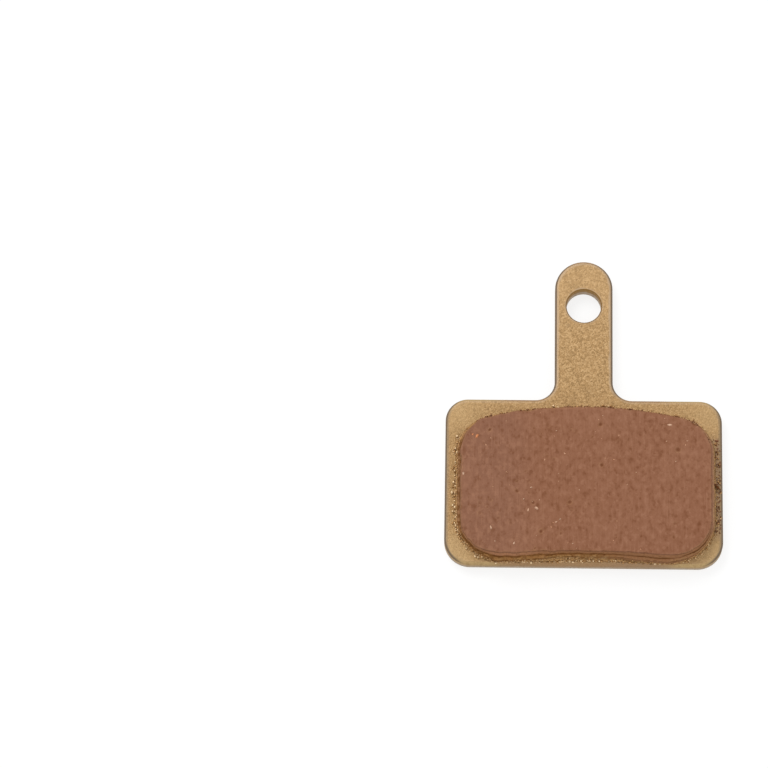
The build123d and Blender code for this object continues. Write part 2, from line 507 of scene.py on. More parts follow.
def plate_wall(sheet, finish, tear, from_pin):
    """Plating of the walls, torn thin below a ragged line, with painted shade on the rounded front edge at
    the left and right.
    """
    sideways = sheet.unsigned(sheet.axis(sheet.normal, "X"))
    ragged = sheet.math("ADD", sheet.z, sheet.part(sheet.noise(0.9 * MM, detail=3.0), 0.5 * MM))
    return sheet.layers(
        finish.plated_wall,
        (sheet.unsigned(sheet.x), *WALL_CORNERS, 1.0, finish.corner_wall),
        # Painted shade and dark reflection on the rounded front edge, most where it faces left or right
        (sheet.z, *ROUNDED_EDGE, sheet.fade(sideways, 0.15, 0.50), finish.painted_edge_shade),
        (from_pin, *PIN_HOLE_WALL, 1.0, finish.bore_wall),
        (ragged, *BARE_WALL, 1.0, finish.sheared_steel),
        (tear, 0.45, 0.70, 0.30, finish.front_shade),
    )


def pale_corners(sheet):
    """Where the front is smooth and paler: its corners, the lower two most, 0 to 1."""
    upper = sheet.part(sheet.fade(sheet.y, *UPPER_CORNERS), 0.30)
    lower = sheet.part(sheet.fade(sheet.y, *LOWER_CORNERS), 0.50)
    return sheet.part(sheet.fade(sheet.unsigned(sheet.x), *OUTER_CORNERS), sheet.math("ADD", upper, lower))


def brake_dust(sheet):
    """Where dust has packed on the bare rim to the right of the lining, 0 to 1."""
    away = sheet.unsigned(sheet.math("SUBTRACT", sheet.y, DUST_MIDDLE))
    rim = sheet.part(sheet.fade(sheet.x, *DUSTY_PLATE), sheet.fade(away, *DUST_REACH))
    patches = sheet.fade(sheet.noise(0.32 * MM, detail=3.0), 0.66, 0.42)
    return sheet.part(rim, sheet.part(patches, 0.9))


def low_right_shade(sheet):
    """Where painted shade darkens the right half of the lower edge, 0 to 1."""
    left, right, upper = PLATE_LOW_RIGHT_SHADE
    return sheet.part(sheet.part(sheet.band(sheet.x, left, right), sheet.fade(sheet.y, *upper)), 0.45)


def brass_powder(finish):
    """Sintered powder: bright grains over dark gaps."""
    sheet = MaterialSheet("brass_powder_finish")
    tint = sheet.attribute("grain_tint")
    dust = sheet.noise(0.10 * MM, detail=3.0)
    plug = sheet.fade(sheet.z, *PLUG_DEPTH)
    body = sheet.layers(
        finish.crevice,
        (tint, 0.00, 0.45, 1.0, finish.brass),
        (tint, 0.62, 1.00, 1.0, finish.glint),
        (tint, 0.15, 0.60, sheet.part(plug, 0.8), finish.plug_pale),
        (dust, 0.50, 0.30, sheet.math("SUBTRACT", 0.5, sheet.part(plug, 0.3)), finish.crevice),
    )
    return sheet.surface(Base_Color=body, Metallic=0.65, Roughness=0.45, Normal=sheet.bump(dust))


def sintered_lining(finish):
    """Brown friction material: mottled and ground on its face, smoother and redder down its sides, with
    painted shade in its hollows and painted light and highlights on its sides and edges.
    """
    sheet = MaterialSheet("sintered_lining_finish")
    ground = sheet.fade(sheet.z, *GROUND_FACE)
    mottle = sheet.streaks((1900.0, 1300.0, 1300.0))
    grind = sheet.streaks((6500.0, 420.0, 420.0))
    grain = sheet.noise(0.22 * MM, detail=3.0, roughness=0.6)
    face = lining_face(sheet, finish, mottle, grain, grind)
    body = sheet.mix(ground, lining_side(sheet, finish, mottle, grain), face)

    # Painted highlight on the ledge's lip and the face's edge: golden, redder on the right half, brightest
    # round the lower right corner, faint on the left
    ledge_highlight = sheet.mix(sheet.part(sheet.band(sheet.x, *RUDDY_HIGHLIGHT), 0.6), finish.ledge_highlight, finish.light)
    ledge_highlight = sheet.layers(ledge_highlight, (sheet.x, *CORNER_HIGHLIGHT, 1.0, finish.corner_highlight))
    kept = sheet.math("SUBTRACT", 1.0, sheet.part(sheet.fade(sheet.x, *LEFT_SIDE), 0.8))
    highlighted = sheet.part(sheet.attribute("ledge_highlight"), kept)
    body = sheet.layers(body, (grain, 0.32, 0.52, highlighted, ledge_highlight))
    # Painted shade in the hollows, and the crumbs' own dark tone: dark brown on the face, the crevice
    # colour on the sides
    sunk = sheet.mix(ground, finish.crevice, finish.dark)
    body = sheet.mix(sheet.part(sheet.attribute("shade_and_tone"), 0.85), body, sunk)
    bumps = sheet.math("ADD", grain, sheet.part(sheet.part(grind, ground), 0.5))
    return sheet.surface(Base_Color=body, Roughness=0.82, Specular_IOR_Level=0.15, Normal=sheet.bump(bumps))


def lining_face(sheet, finish, mottle, grain, grind):
    """The ground face: mottled, greyer on the left, with fine lines from the grinding and a few specks."""
    speck = sheet.axis(sheet.cells(0.26 * MM, "Color"), "Y")
    drift = sheet.noise(5.0 * MM)
    return sheet.layers(
        finish.brown,
        (sheet.x, *HAZY_LEFT, 0.35, finish.hazed),
        (sheet.y, *LOWER_SIDE, 0.09, finish.dark),
        (mottle, 0.48, 0.74, 0.50, finish.light),
        (mottle, 0.48, 0.24, 0.62, finish.dark),
        (grain, 0.46, 0.26, 0.28, finish.dark),
        (grind, 0.50, 0.75, 0.35, finish.light),
        (speck, 0.90, 0.96, 0.36, finish.light),
        (speck, 0.08, 0.03, 0.30, finish.dark),
        (drift, 0.48, 0.70, 0.18, finish.light),
    )


def lining_side(sheet, finish, mottle, grain):
    """The pressed sides: the foot, and above it the block's wall."""
    blotch = sheet.noise(0.5 * MM, detail=3.0, roughness=0.6)
    # The lower side, which lies in shade, takes lighter colours as painted light, paler still in a band on
    # its left
    lower = sheet.fade(sheet.y, *LOWER_SIDE)
    # Painted glints on the lower foot near the middle
    bright = sheet.part(sheet.band(sheet.x, *BRIGHT_FOOT), sheet.fade(sheet.z, *FOOT_TOP))
    bright = sheet.part(sheet.part(bright, lower), 0.8)
    foot = sheet.mix(lower, finish.side, finish.lower_foot)
    pale = sheet.part(sheet.band(sheet.x, *PALE_WALL), lower)
    wall = sheet.mix(lower, finish.side, finish.lower_wall)
    wall = sheet.layers(
        sheet.mix(pale, wall, finish.pale_wall),
        (blotch, 0.48, 0.66, 0.60, finish.pale_wall),
        (grain, 0.50, 0.28, 0.50, finish.dark),
    )
    rough = sheet.math("ADD", sheet.fade(sheet.x, *ROUGH_LEFT), sheet.fade(sheet.x, *ROUGH_MIDDLE))
    return sheet.layers(
        foot,
        (blotch, 0.42, 0.60, bright, finish.corner_highlight),
        (grain, 0.50, 0.30, 0.50, finish.crevice),
        (mottle, 0.52, 0.75, 0.30, finish.light),
        (blotch, 0.60, 0.42, sheet.part(rough, 0.375), finish.crevice),
        (sheet.x, *PALE_RIGHT, 0.45, finish.light),
        (sheet.z, *BLOCK_WALL, 1.0, wall),
        # Painted light on the right side, which faces away from the lamp
        (sheet.x, *RIGHT_SIDE, sheet.fade(sheet.y, *RIGHT_LIGHT_REACH), finish.light),
    )


def metal_fleck(finish):
    """Bright metal chips cut flush by the grinding of the face."""
    sheet = MaterialSheet("metal_fleck_finish")
    dust = sheet.noise(0.08 * MM)
    body = sheet.mix(sheet.attribute("copper"), finish.fleck_pale, finish.fleck_copper)
    body = sheet.layers(body, (dust, 0.45, 0.65, 0.35, finish.light))
    return sheet.surface(Base_Color=body, Metallic=0.2, Roughness=0.55)


def merged_skin(node):
    """A solid's shape as one closed skin."""
    skin = bmesh.new()
    skin.from_mesh(frame["nodes"][node].data)
    bmesh.ops.remove_doubles(skin, verts=skin.verts, dist=MERGE_DISTANCE)
    skin.normal_update()
    return skin


def linked(name, data):
    """A new object in the scene."""
    item = bpy.data.objects.new(name, data)
    bpy.context.scene.collection.objects.link(item)
    return item


def show_piece(skin, name, material):
    """Makes a finished skin, held inside the pad's box, an object that rides with the pad."""
    for vert in skin.verts:
        vert.co = [held(value, low, high) for value, low, high in zip(vert.co, *CAD_BOX)]
    mesh = bpy.data.meshes.new(name)
    skin.to_mesh(mesh)
    skin.free()
    stale = mesh.attributes.get("custom_normal")
    if stale:
        mesh.attributes.remove(stale)
    mesh.shade_smooth()
    mesh.materials.clear()
    mesh.materials.append(material)
    piece = linked(name, mesh)
    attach(piece, BODY)
    return piece


def even_skin(skin, voxel):
    """The same shape with small even faces."""
    mesh = bpy.data.meshes.new("coarse_skin")
    skin.to_mesh(mesh)
    skin.free()
    carrier = linked("coarse_skin", mesh)
    remesh = carrier.modifiers.new("even_faces", "REMESH")
    remesh.mode = "VOXEL"
    remesh.voxel_size = voxel
    depsgraph = bpy.context.evaluated_depsgraph_get()
    fine_mesh = bpy.data.meshes.new_from_object(carrier.evaluated_get(depsgraph))
    fine = bmesh.new()
    fine.from_mesh(fine_mesh)
    fine.normal_update()
    bpy.data.objects.remove(carrier)
    bpy.data.meshes.remove(mesh)
    bpy.data.meshes.remove(fine_mesh)
    return fine


def cut_level(skin, height, **settings):
    """Cuts a skin all round at a height, and gives what lies on the cut."""
    geometry = [*skin.verts, *skin.edges, *skin.faces]
    cut = bmesh.ops.bisect_plane(skin, geom=geometry, plane_co=UP * height, plane_no=UP, **settings)
    return cut["geom_cut"]


def faces_where(skin, test):
    """The faces of a skin whose normal and middle pass a test."""
    return [face for face in skin.faces if test(face.normal, face.calc_center_median())]


def bead_faces(bond):
    """The faces of the bond's bead, which stands out round the lining."""
    return faces_where(bond, lambda normal, middle: middle.z > PLATE_FRONT and abs(normal.z) < LEVEL)


def flatten_hidden(skin, levels):
    """Joins the small faces that lie flat on another piece, at the given heights."""
    hidden = set()
    for level in levels:
        hidden.update(faces_where(
            skin, lambda normal, middle: abs(normal.z) > LEVEL and abs(middle.z - level) < SAME_LEVEL
        ))
    inner = [edge for edge in skin.edges if hidden.issuperset(edge.link_faces)]
    bmesh.ops.dissolve_edges(skin, edges=inner, use_verts=True)
    wide = [face for face in skin.faces if len(face.verts) > 4]
    bmesh.ops.triangulate(skin, faces=wide)


def held(value, low=0.0, high=1.0):
    """A number kept between two others."""
    return min(max(value, low), high)


def smooth_step(value, start, end):
    """0 at start, 1 at end, smooth between."""
    way = held((value - start) / (end - start))
    return way * way * (3.0 - 2.0 * way)


def band(value, first, last):
    """1 between two ends, each a stretch over which it fades in."""
    return smooth_step(value, *first) * smooth_step(value, *last)


def dustiness(place):
    """How much brake dust lies at a place, 0 to 1: all of it half way up the right rim."""
    return smooth_step(place.x, *DUSTY_BEAD) * smooth_step(abs(place.y - DUST_MIDDLE), *DUST_REACH)


def low_right_shaded(place):
    """How much painted shade darkens a place on the right half of the lower edge, 0 to 1."""
    left, right, upper = POWDER_LOW_RIGHT_SHADE
    return band(place.x, left, right) * smooth_step(place.y, *upper)


def cleanness(place):
    """How clean a plug's face is at a place, up to 1."""
    clear = 1.0
    for stain, reach in PLUG_STAINS:
        clear = min(clear, smooth_step((place - stain).to_2d().length, 0.3 * reach, reach))
    return 0.18 + 0.82 * clear


def drawn_in(place):
    """A place on the foot or the bead, drawn in where the press left a lower corner unfilled."""
    for middle, loss in zip(LOWER_ARCS, CORNER_LOSSES):
        offset = place.to_2d() - middle
        reach = offset.length - BLOCK_ARC
        if offset.y < 0.0 and offset.x * middle.x > 0.0 and reach > 0.0:
            corner = 2.0 * abs(offset.x * offset.y) / offset.length_squared
            kept = offset * (1.0 - loss * corner * reach / offset.length)
            return Vector((middle.x + kept.x, middle.y + kept.y, place.z))
    return place


def bulged(place, share):
    """A place near the lining's lower edge, moved out by a share of the bulges there."""
    full = sum(band(place.x, *ends) for ends in LOWER_BULGES)
    return place - Vector((0.0, BULGE * share * full * smooth_step(place.y, *BULGING_EDGE), 0.0))


def hollowness(skin):
    """How far each corner point lies below its neighbours, in metres: more in a groove, less on an edge."""
    skin.normal_update()
    sinks = []
    for vert in skin.verts:
        near = [edge.other_vert(vert).co for edge in vert.link_edges]
        middle = sum(near, Vector()) / len(near)
        sinks.append((middle - vert.co).dot(vert.normal))
    return sinks


def spot(x, y, height):
    """A place from its millimetres across and along the pad, and a height."""
    return Vector((x * MM, y * MM, height))


def outward(normal):
    """The level direction in which a face looks."""
    return Vector((normal.x, normal.y, 0.0)).normalized()


def random_spots(faces, amount, dice):
    """Evenly spread places on a mesh's faces, each with its face's normal."""
    areas = [face.calc_area() for face in faces]
    spots = []
    for face in dice.choices(faces, weights=areas, k=amount):
        first, second = sorted((dice.random(), dice.random()))
        corners = [vert.co for vert in face.verts[:3]]
        place = corners[0] * first + corners[1] * (second - first) + corners[2] * (1.0 - second)
        spots.append((place, face.normal.copy()))
    return spots


class Heap:
    """Many small rough lumps in one skin, each with a number of its own."""

    # How far a lump's corner points stray, as a share of its width
    roughness = 0.09

    def __init__(self, seed):
        self.dice = random.Random(seed)
        self.skin = bmesh.new()
        self.numbers = []
        self.mould = bpy.data.meshes.new("lump")

    def add(self, place, width, thickness, number):
        """A lump turned at random about its middle."""
        turn = Quaternion([self.dice.gauss(0.0, 1.0) for _ in range(4)]).normalized()
        stretch = (self.dice.uniform(0.8, 1.25), self.dice.uniform(0.75, 1.1), thickness)
        self.cast(place, turn, stretch, width, number)

    def lay(self, place, width, turn, number):
        """A long flat lump, turned in its own plane and cut level through its middle."""
        stretch = (self.dice.uniform(1.2, 1.8), self.dice.uniform(0.6, 0.9), 0.35)
        self.cast(place, Quaternion(UP, turn), stretch, width, number, top=place.z)

    def cast(self, place, turn, stretch, width, number, top=None):
        """Shapes one lump and joins it to the heap."""
        shape = Matrix.LocRotScale(place, turn, Vector(stretch))
        lump = bmesh.new()
        bmesh.ops.create_icosphere(lump, subdivisions=1, radius=width / 2, matrix=shape)
        for vert in lump.verts:
            vert.co += Vector([self.dice.uniform(-1.0, 1.0) for _ in range(3)]) * width * self.roughness
        if top is not None:
            cut = cut_level(lump, top, clear_outer=True)
            rim = [item for item in cut if isinstance(item, bmesh.types.BMEdge)]
            bmesh.ops.contextual_create(lump, geom=rim)
        lump.to_mesh(self.mould)
        lump.free()
        self.skin.from_mesh(self.mould)
        self.numbers += [number] * len(self.mould.vertices)

    def finish(self, name):
        """The whole heap, with each lump's number on its corner points under a name."""
        layer = self.skin.verts.layers.float.new(name)
        for vert, number in zip(self.skin.verts, self.numbers):
            vert[layer] = number
        bpy.data.meshes.remove(self.mould)
        return self.skin


class PAD_OT_backing_plate(bpy.types.Operator):
    """Builds the plated stamping with its rounded, rubbed front edge"""

    bl_idname = "brake_pad.backing_plate"
    bl_label = "Backing Plate"

    # Extra rings of corner points on the walls, which keep their middle flat
    wall_rings = (0.45 * MM, 1.45 * MM)
    # The broken front edge is at least this deep, and this upright; the pin hole's is less deep
    least_break = 0.15 * MM
    break_slope = (0.6, 0.8)

    def execute(self, context):
        finish = context.scene.brake_pad.plate
        skin = merged_skin("backing_plate")
        bmesh.ops.dissolve_limit(skin, angle_limit=FLAT_ANGLE, verts=skin.verts, edges=skin.edges)
        self.round_front_edge(skin, finish)
        for ring in self.wall_rings:
            cut_level(skin, ring)
        front = [face for face in skin.faces if face.normal.z > LEVEL]
        bmesh.ops.inset_region(
            skin, faces=front, thickness=finish.front_rim, use_boundary=True, use_even_offset=True
        )
        rim_mark = skin.verts.layers.float.new("front_rim")
        for vert in skin.verts:
            level = all(face.normal.z > LEVEL for face in vert.link_faces)
            vert[rim_mark] = 0.0 if level or vert.co.z < max(self.wall_rings) else 1.0
        bmesh.ops.triangulate(skin, faces=skin.faces)
        piece = show_piece(skin, "plated_stamping", plated_steel(finish))
        piece.data.set_sharp_from_angle(angle=CRISP_ANGLE)
        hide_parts("backing_plate")
        return {"FINISHED"}

    def round_front_edge(self, skin, finish):
        """Rounds both sides of the slope that breaks the front edge."""
        slope = {face for face in skin.faces if self.breaks_edge(face)}
        edges = [edge for edge in skin.edges if len(slope.intersection(edge.link_faces)) == 1]
        bmesh.ops.bevel(
            skin, geom=edges, offset=finish.edge_round, offset_type="OFFSET", affect="EDGES",
            segments=2, profile=0.5, material=-1, clamp_overlap=True,
        )

    def breaks_edge(self, face):
        """Whether a face is part of the slope round the outer edge."""
        low, high = self.break_slope
        levels = [vert.co.z for vert in face.verts]
        return low < face.normal.z < high and max(levels) - min(levels) > self.least_break


class PAD_OT_bonding_layer(bpy.types.Operator):
    """Builds the lumpy skin of the brass powder bond and its plugs"""

    bl_idname = "brake_pad.bonding_layer"
    bl_label = "Bonding Layer"

    # How bright the powder is where it is hidden, and on the bead where it has no dust and no painted shade
    hidden_tint = 0.40
    bead_tint = 0.46
    # How wide the gaps between lumps are, as a share of a lump, how much they darken it, and how much dust
    # and painted shade darken it
    gap_width = 0.45
    gap_shade = 0.64
    dust_and_shade_dimming = 0.30

    def execute(self, context):
        finish = context.scene.brake_pad.bond
        skin = even_skin(merged_skin("bonding_layer"), finish.voxel)
        tint = skin.verts.layers.float.new("grain_tint")
        moves = []
        for vert in skin.verts:
            plug_face = vert.normal.z < -LEVEL and vert.co.z < PLATE_FRONT / 2
            bead = vert.co.z > PLATE_FRONT + finish.voxel and vert.normal.z < LEVEL
            if not (plug_face or bead):
                vert[tint] = self.hidden_tint
                continue
            near, far = noise.voronoi(vert.co / finish.lump)[0][:2]
            gap = 1.0 - smooth_step(far - near, 0.0, self.gap_width)
            # Brake dust, and painted shade along the right half of the lower edge
            dust_and_low_shade = max(dustiness(vert.co), low_right_shaded(vert.co))
            lightness = cleanness(vert.co) if plug_face else self.bead_tint * (1.0 - self.dust_and_shade_dimming * dust_and_low_shade)
            vert[tint] = lightness * (1.0 - self.gap_shade * gap)
            moves.append((vert, vert.normal * -(gap * finish.lump_depth)))
        for vert, move in moves:
            vert.co += move
        for vert in skin.verts:
            vert.co = bulged(drawn_in(vert.co), BEAD_SHARE)
        flatten_hidden(skin, (PLATE_FRONT, BOND_TOP))
        piece = show_piece(skin, "powder_bond", brass_powder(finish))
        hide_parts("bonding_layer")
        return {"FINISHED"}


class PAD_OT_powder_grains(bpy.types.Operator):
    """Scatters brass grains along the bead, over the two plugs and on the lining's foot"""

    bl_idname = "brake_pad.powder_grains"
    bl_label = "Powder Grains"

    # Coarse bright grains in the glint colour, painted glints: places and widths, in millimetres, and their
    # height over the plate
    bright_grains = (
        (-14.21, -1.34, 0.40), (-14.07, -0.21, 0.34), (-13.85, -3.02, 0.40), (-14.08, -3.47, 0.30),
        (-13.75, 4.99, 0.34), (-13.85, -0.65, 0.30), (-14.09, -2.80, 0.32), (-13.95, 1.10, 0.28),
        (-13.90, 3.60, 0.26), (-11.66, -8.46, 0.36), (-11.33, -8.57, 0.30), (-9.40, -8.95, 0.34),
        (-5.60, -8.92, 0.38), (0.41, -8.75, 0.34), (-0.17, -8.72, 0.26), (13.98, -4.91, 0.34),
        (7.63, -8.80, 0.32), (8.17, -8.80, 0.28), (-12.60, -7.60, 0.30), (3.20, -8.75, 0.26),
    )
    bright_height = 0.15 * MM
    # The share of the bead's grains that is missing along the top, and where it is dusty or sparse
    top_loss = 0.65
    sparse_loss = 0.6
    # Where the bead is sparse: in the lower right corner
    sparse_right = span(8.0, 10.0)
    sparse_low = span(-4.0, -6.0)
    # How far most grains lie inside the bead's edge and how far the rest may stray, in spills
    usual_inset = 0.6
    longest_stray = 2.5
    # The share of the bead's grains that dust darkens, how much dust darkens them, and how much painted
    # shade darkens them low on the right
    dusted = 0.80
    dust_shade = 0.38
    low_right_shade_depth = 0.35
    # Where the grains on the foot thin out towards the right, and by how much
    thinning = span(-2.0, 5.0)
    thinned = 0.8

    def execute(self, context):
        finish = context.scene.brake_pad.bond
        heap = Heap(finish.seed)
        bond = merged_skin("bonding_layer")
        self.strew_bead(heap, bond, finish)
        for x, y, width in self.bright_grains:
            place = bulged(spot(x, y, PLATE_FRONT + self.bright_height), FOOT_SHARE)
            heap.add(place, width * MM, 0.8, 1.0)
        self.strew_plugs(heap, bond, finish)
        bond.free()
        self.strew_foot(heap, finish)
        skin = heap.finish("grain_tint")
        show_piece(skin, "powder_grains", bpy.data.materials["brass_powder_finish"])
        return {"FINISHED"}

    def strew_bead(self, heap, bond, finish):
        """Grains on the bead, a few of which have rolled onto the plate."""
        dice = heap.dice
        for place, normal in random_spots(bead_faces(bond), finish.bead_grains, dice):
            place = bulged(drawn_in(place), BEAD_SHARE)
            width = self.grain_width(finish, dice)
            away = outward(normal)
            if away.y > 0.5 and dice.random() < self.top_loss:
                continue
            if dice.random() < self.sparse_loss * max(dustiness(place), self.sparseness(place)):
                continue
            stray = min(dice.expovariate(1.0), self.longest_stray) - self.usual_inset
            stray = stray * finish.spill * self.looseness(place, away)
            place = place + away * stray
            place.z = max(place.z - max(stray, 0.0), PLATE_FRONT + 0.15 * width)
            place.x = held(place.x, PLATE_LOW.x + width, PLATE_HIGH.x - width)
            place.y = max(place.y, PLATE_LOW.y + width)
            lightness = 1.0 - self.dust_shade * dustiness(place) * (dice.random() < self.dusted)
            # Painted shade on the grains along the right half of the lower edge
            lightness *= 1.0 - self.low_right_shade_depth * low_right_shaded(place)
            heap.add(place, width, dice.uniform(*THICKNESS), lightness * (0.3 + 0.7 * dice.random() ** 0.8))

    def strew_plugs(self, heap, bond, finish):
        """Grains pressed into the two plugs."""
        dice = heap.dice
        plugs = faces_where(bond, lambda normal, middle: normal.z < -LEVEL and middle.z < PLATE_FRONT / 2)
        for place, normal in random_spots(plugs, finish.plug_grains, dice):
            width = self.grain_width(finish, dice)
            sunk = place - normal * width * dice.uniform(0.05, 0.35)
            heap.add(sunk, width, dice.uniform(0.6, 0.95), cleanness(place) * dice.uniform(0.72, 1.0))

    def strew_foot(self, heap, finish):
        """Fine grains stuck to the lining's foot, most of them low down and towards the left."""
        dice = heap.dice
        lining = merged_skin("friction_lining")
        low = faces_where(lining, lambda normal, middle: middle.z < LEDGE and abs(normal.z) < LEVEL)
        foot = [face for face in low if face.normal.x + face.normal.y < -0.5]
        for place, _ in random_spots(foot, finish.foot_grains, dice):
            height = (place.z - LINING_LOW.z) / (LEDGE - LINING_LOW.z)
            kept = 1.0 - self.thinned * smooth_step(place.x, *self.thinning)
            if dice.random() < kept * (1.0 - height):
                width = finish.smallest_grain * dice.uniform(0.8, 1.8)
                place = bulged(drawn_in(place), FOOT_SHARE)
                heap.add(place, width, dice.uniform(*THICKNESS), dice.uniform(0.1, 0.85))
        lining.free()

    def sparseness(self, place):
        """How few grains the bead has at a place, 0 to 1."""
        return smooth_step(place.x, *self.sparse_right) * smooth_step(place.y, *self.sparse_low)

    @staticmethod
    def grain_width(finish, dice):
        """Mostly fine grains, a few coarse ones."""
        return finish.smallest_grain + (finish.largest_grain - finish.smallest_grain) * dice.random() ** 2.2

    @staticmethod
    def looseness(place, away):
        """The bead is loosest half way up its right side and tight along the bottom."""
        if away.x > 0.6:
            return 0.6 + 1.4 * dustiness(place)
        return 1.0 if away.y > -0.6 else 0.35


class PAD_OT_friction_lining(bpy.types.Operator):
    """Builds the pitted friction block with its chipped edge and rough pressed sides"""

    bl_idname = "brake_pad.friction_lining"
    bl_label = "Friction Lining"

    # Deep pits in the face: places and widths, in millimetres
    deep_pits = (
        (10.10, 3.10, 0.36), (1.90, 1.30, 0.26), (1.74, 5.90, 0.28), (-1.53, -2.89, 0.28),
        (-5.49, -2.93, 0.26), (-4.62, -6.15, 0.26), (-7.22, -1.72, 0.24), (-10.18, 5.10, 0.24),
    )
    # Where the face's edge has broken away, how far along it, and how much deeper than a chip
    broken_corner = Vector((11.9, 6.2, 4.0)) * MM
    break_reach = 0.55 * MM
    break_share = 1.6
    # The sizes of the sides' grain, of the chips along the face's edge and of the dark patches there
    grain_size = 0.32 * MM
    chip_size = 1.1 * MM
    patch_size = 0.8 * MM
    # The heights of the painted shade in the corner above the ledge and at the seam at the bottom, and of
    # the painted highlight on the edges
    corner_reach = 0.30 * MM
    seam_reach = span(0.25, 0.05)
    highlight_reach = span(0.20, 0.08)
    arris_reach = 0.2 * MM
    # The size of the patches in the edges' painted highlight
    highlight_patch_size = 0.5 * MM
    # How far the lines along the ledge stray up and down, and over what length
    line_stray = 0.22 * MM
    line_length = 1.3 * MM
    # How far the block's outline strays, over what length, and where towards the right it strays less
    outline_stray = 0.16 * MM
    outline_length = 1.1 * MM
    steadier = span(-9.0, 0.0)
    # Up to this share of the block's height a corner point belongs to the foot
    foot_rise = 0.05

    def execute(self, context):
        finish = context.scene.brake_pad.lining
        skin = even_skin(merged_skin("friction_lining"), finish.voxel)
        shade_and_tone = skin.verts.layers.float.new("shade_and_tone")
        ledge_highlight = skin.verts.layers.float.new("ledge_highlight")
        self.wear(skin, finish, shade_and_tone)
        self.settle(skin)
        for vert, sink in zip(skin.verts, hollowness(skin)):
            clear = self.clearness(vert.normal)
            vert[shade_and_tone] = min(1.0, max(vert[shade_and_tone], clear * self.shade(vert, sink / finish.voxel)))
            vert[ledge_highlight] = min(1.0, clear * self.painted_highlight(vert, sink / finish.voxel))
        flatten_hidden(skin, (LINING_LOW.z,))
        piece = show_piece(skin, "friction_block", sintered_lining(finish))
        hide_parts("friction_lining")
        return {"FINISHED"}

    def wear(self, skin, finish, shade_and_tone):
        """Sinks the pits, roughens the sides and chips the face's edge, and marks the darkening: painted
        shade in the pits and chips, and dark marks at the broken corner and along the top edge.
        """
        tree, pits = self.scatter_pits(finish)
        moves = []
        for vert in skin.verts:
            if vert.normal.z < -0.5:
                continue
            rise = max(vert.normal.z, 0.0)
            face = smooth_step(rise, 0.90, 1.0) * (vert.co.z > FRICTION_FACE - finish.voxel)
            side = 1.0 - smooth_step(rise, 0.15, 0.75)
            arris = 4.0 * rise * (1.0 - rise) * (vert.co.z > FRICTION_FACE - 3.0 * finish.voxel)
            grain = held(0.5 + 0.5 * noise.fractal(vert.co / self.grain_size, 0.8, 2.0, 3))
            chipping = noise.noise(vert.co / self.chip_size + Vector((0.0, 9.0, 0.0)))
            chip = smooth_step(chipping, 0.0, 0.55)
            from_break = (vert.co - self.broken_corner).length
            gone = smooth_step(from_break, self.break_reach, 0.3 * self.break_reach)
            _, index, distance = tree.find(vert.co)
            width, strength = pits[index]
            pit = face * strength * (1.0 - smooth_step(distance, 0.2 * width, width))
            depth = face * (finish.ground_depth * (0.5 + grain) + pit * finish.pit_depth)
            depth += side * grain * finish.side_depth
            depth += arris * (0.25 * grain + chip + self.break_share * gone) * finish.chip_depth
            upper = smooth_step(vert.normal.y, 0.05, 0.4)
            upper *= 0.3 + 0.9 * smooth_step(noise.noise(vert.co / self.patch_size), -0.3, 0.3)
            nicked = 0.3 * chip * (1.0 - smooth_step(vert.normal.x, 0.3, 0.7))
            vert[shade_and_tone] = min(1.0, pit + arris * (nicked + upper) + gone)
            moves.append((vert, vert.normal * -depth))
        for vert, move in moves:
            vert.co += move
            vert.co.z = min(vert.co.z, FRICTION_FACE)

    def settle(self, skin):
        """Draws the lower corners in, lets the lower edge bulge and the block's outline stray."""
        for vert in skin.verts:
            rise = (vert.co.z - LEDGE) / (FRICTION_FACE - LEDGE)
            if rise < self.foot_rise:
                vert.co = bulged(drawn_in(vert.co), FOOT_SHARE)
            else:
                bulge = WALL_SHARE + (FACE_SHARE - WALL_SHARE) * rise
                vert.co = bulged(vert.co, bulge) + self.stray(vert.co)

    def stray(self, place):
        """How far the block's outline strays at a place: most on its left, least on its right."""
        level = Vector((place.x, place.y, 0.0)) / self.outline_length
        kept = 1.0 - 0.7 * smooth_step(place.x, *self.steadier)
        across = noise.noise(level)
        along = noise.noise(level + UP * 7.3)
        return Vector((across, along, 0.0)) * self.outline_stray * kept

    def over_ledge(self, place):
        """How far a place is above the ledge's line, which strays up and down."""
        return place.z - LEDGE - self.line_stray * noise.noise(place / self.line_length)

    def shade(self, vert, sink):
        """How much painted shade a corner point takes, 0 to 1: in a groove, above the ledge or at the seam
        below.
        """
        core = 0.3 * self.corner_reach
        above = abs(self.over_ledge(vert.co) - core)
        corner = smooth_step(above, self.corner_reach, core) * (vert.normal.z < 0.6)
        groove = smooth_step(sink, 0.05, 0.25)
        soft = smooth_step(vert.co.x, *SOFT_LEFT) * smooth_step(-vert.normal.y, 0.4, 0.8)
        seam = 0.7 * smooth_step(vert.co.z - LINING_LOW.z, *self.seam_reach)
        return max((1.0 - 0.40 * soft) * max(groove, corner), seam)

    def painted_highlight(self, vert, sink):
        """How much painted highlight a corner point takes: on the ledge's lip and, less, on the face's
        edge.
        """
        near_ledge = smooth_step(abs(self.over_ledge(vert.co)), *self.highlight_reach)
        edge = smooth_step(-sink, 0.0, 0.10)
        ledge = near_ledge * max(edge, 0.6 * smooth_step(vert.normal.z, 0.7, 0.95))
        arris = 0.20 * edge * (vert.co.z > FRICTION_FACE - self.arris_reach)
        patchy = 0.75 + 0.6 * noise.noise(vert.co / self.highlight_patch_size)
        return patchy * max(ledge, arris)

    @staticmethod
    def clearness(normal):
        """The ledge's painted shade and highlight show fully along the bottom, less on the left, and little
        on the right, where it is smeared over.
        """
        left = 0.5 * smooth_step(-normal.x, 0.7, 1.0)
        return 1.0 - left - smooth_step(normal.x + 0.6 * normal.y, 0.35, 0.85)

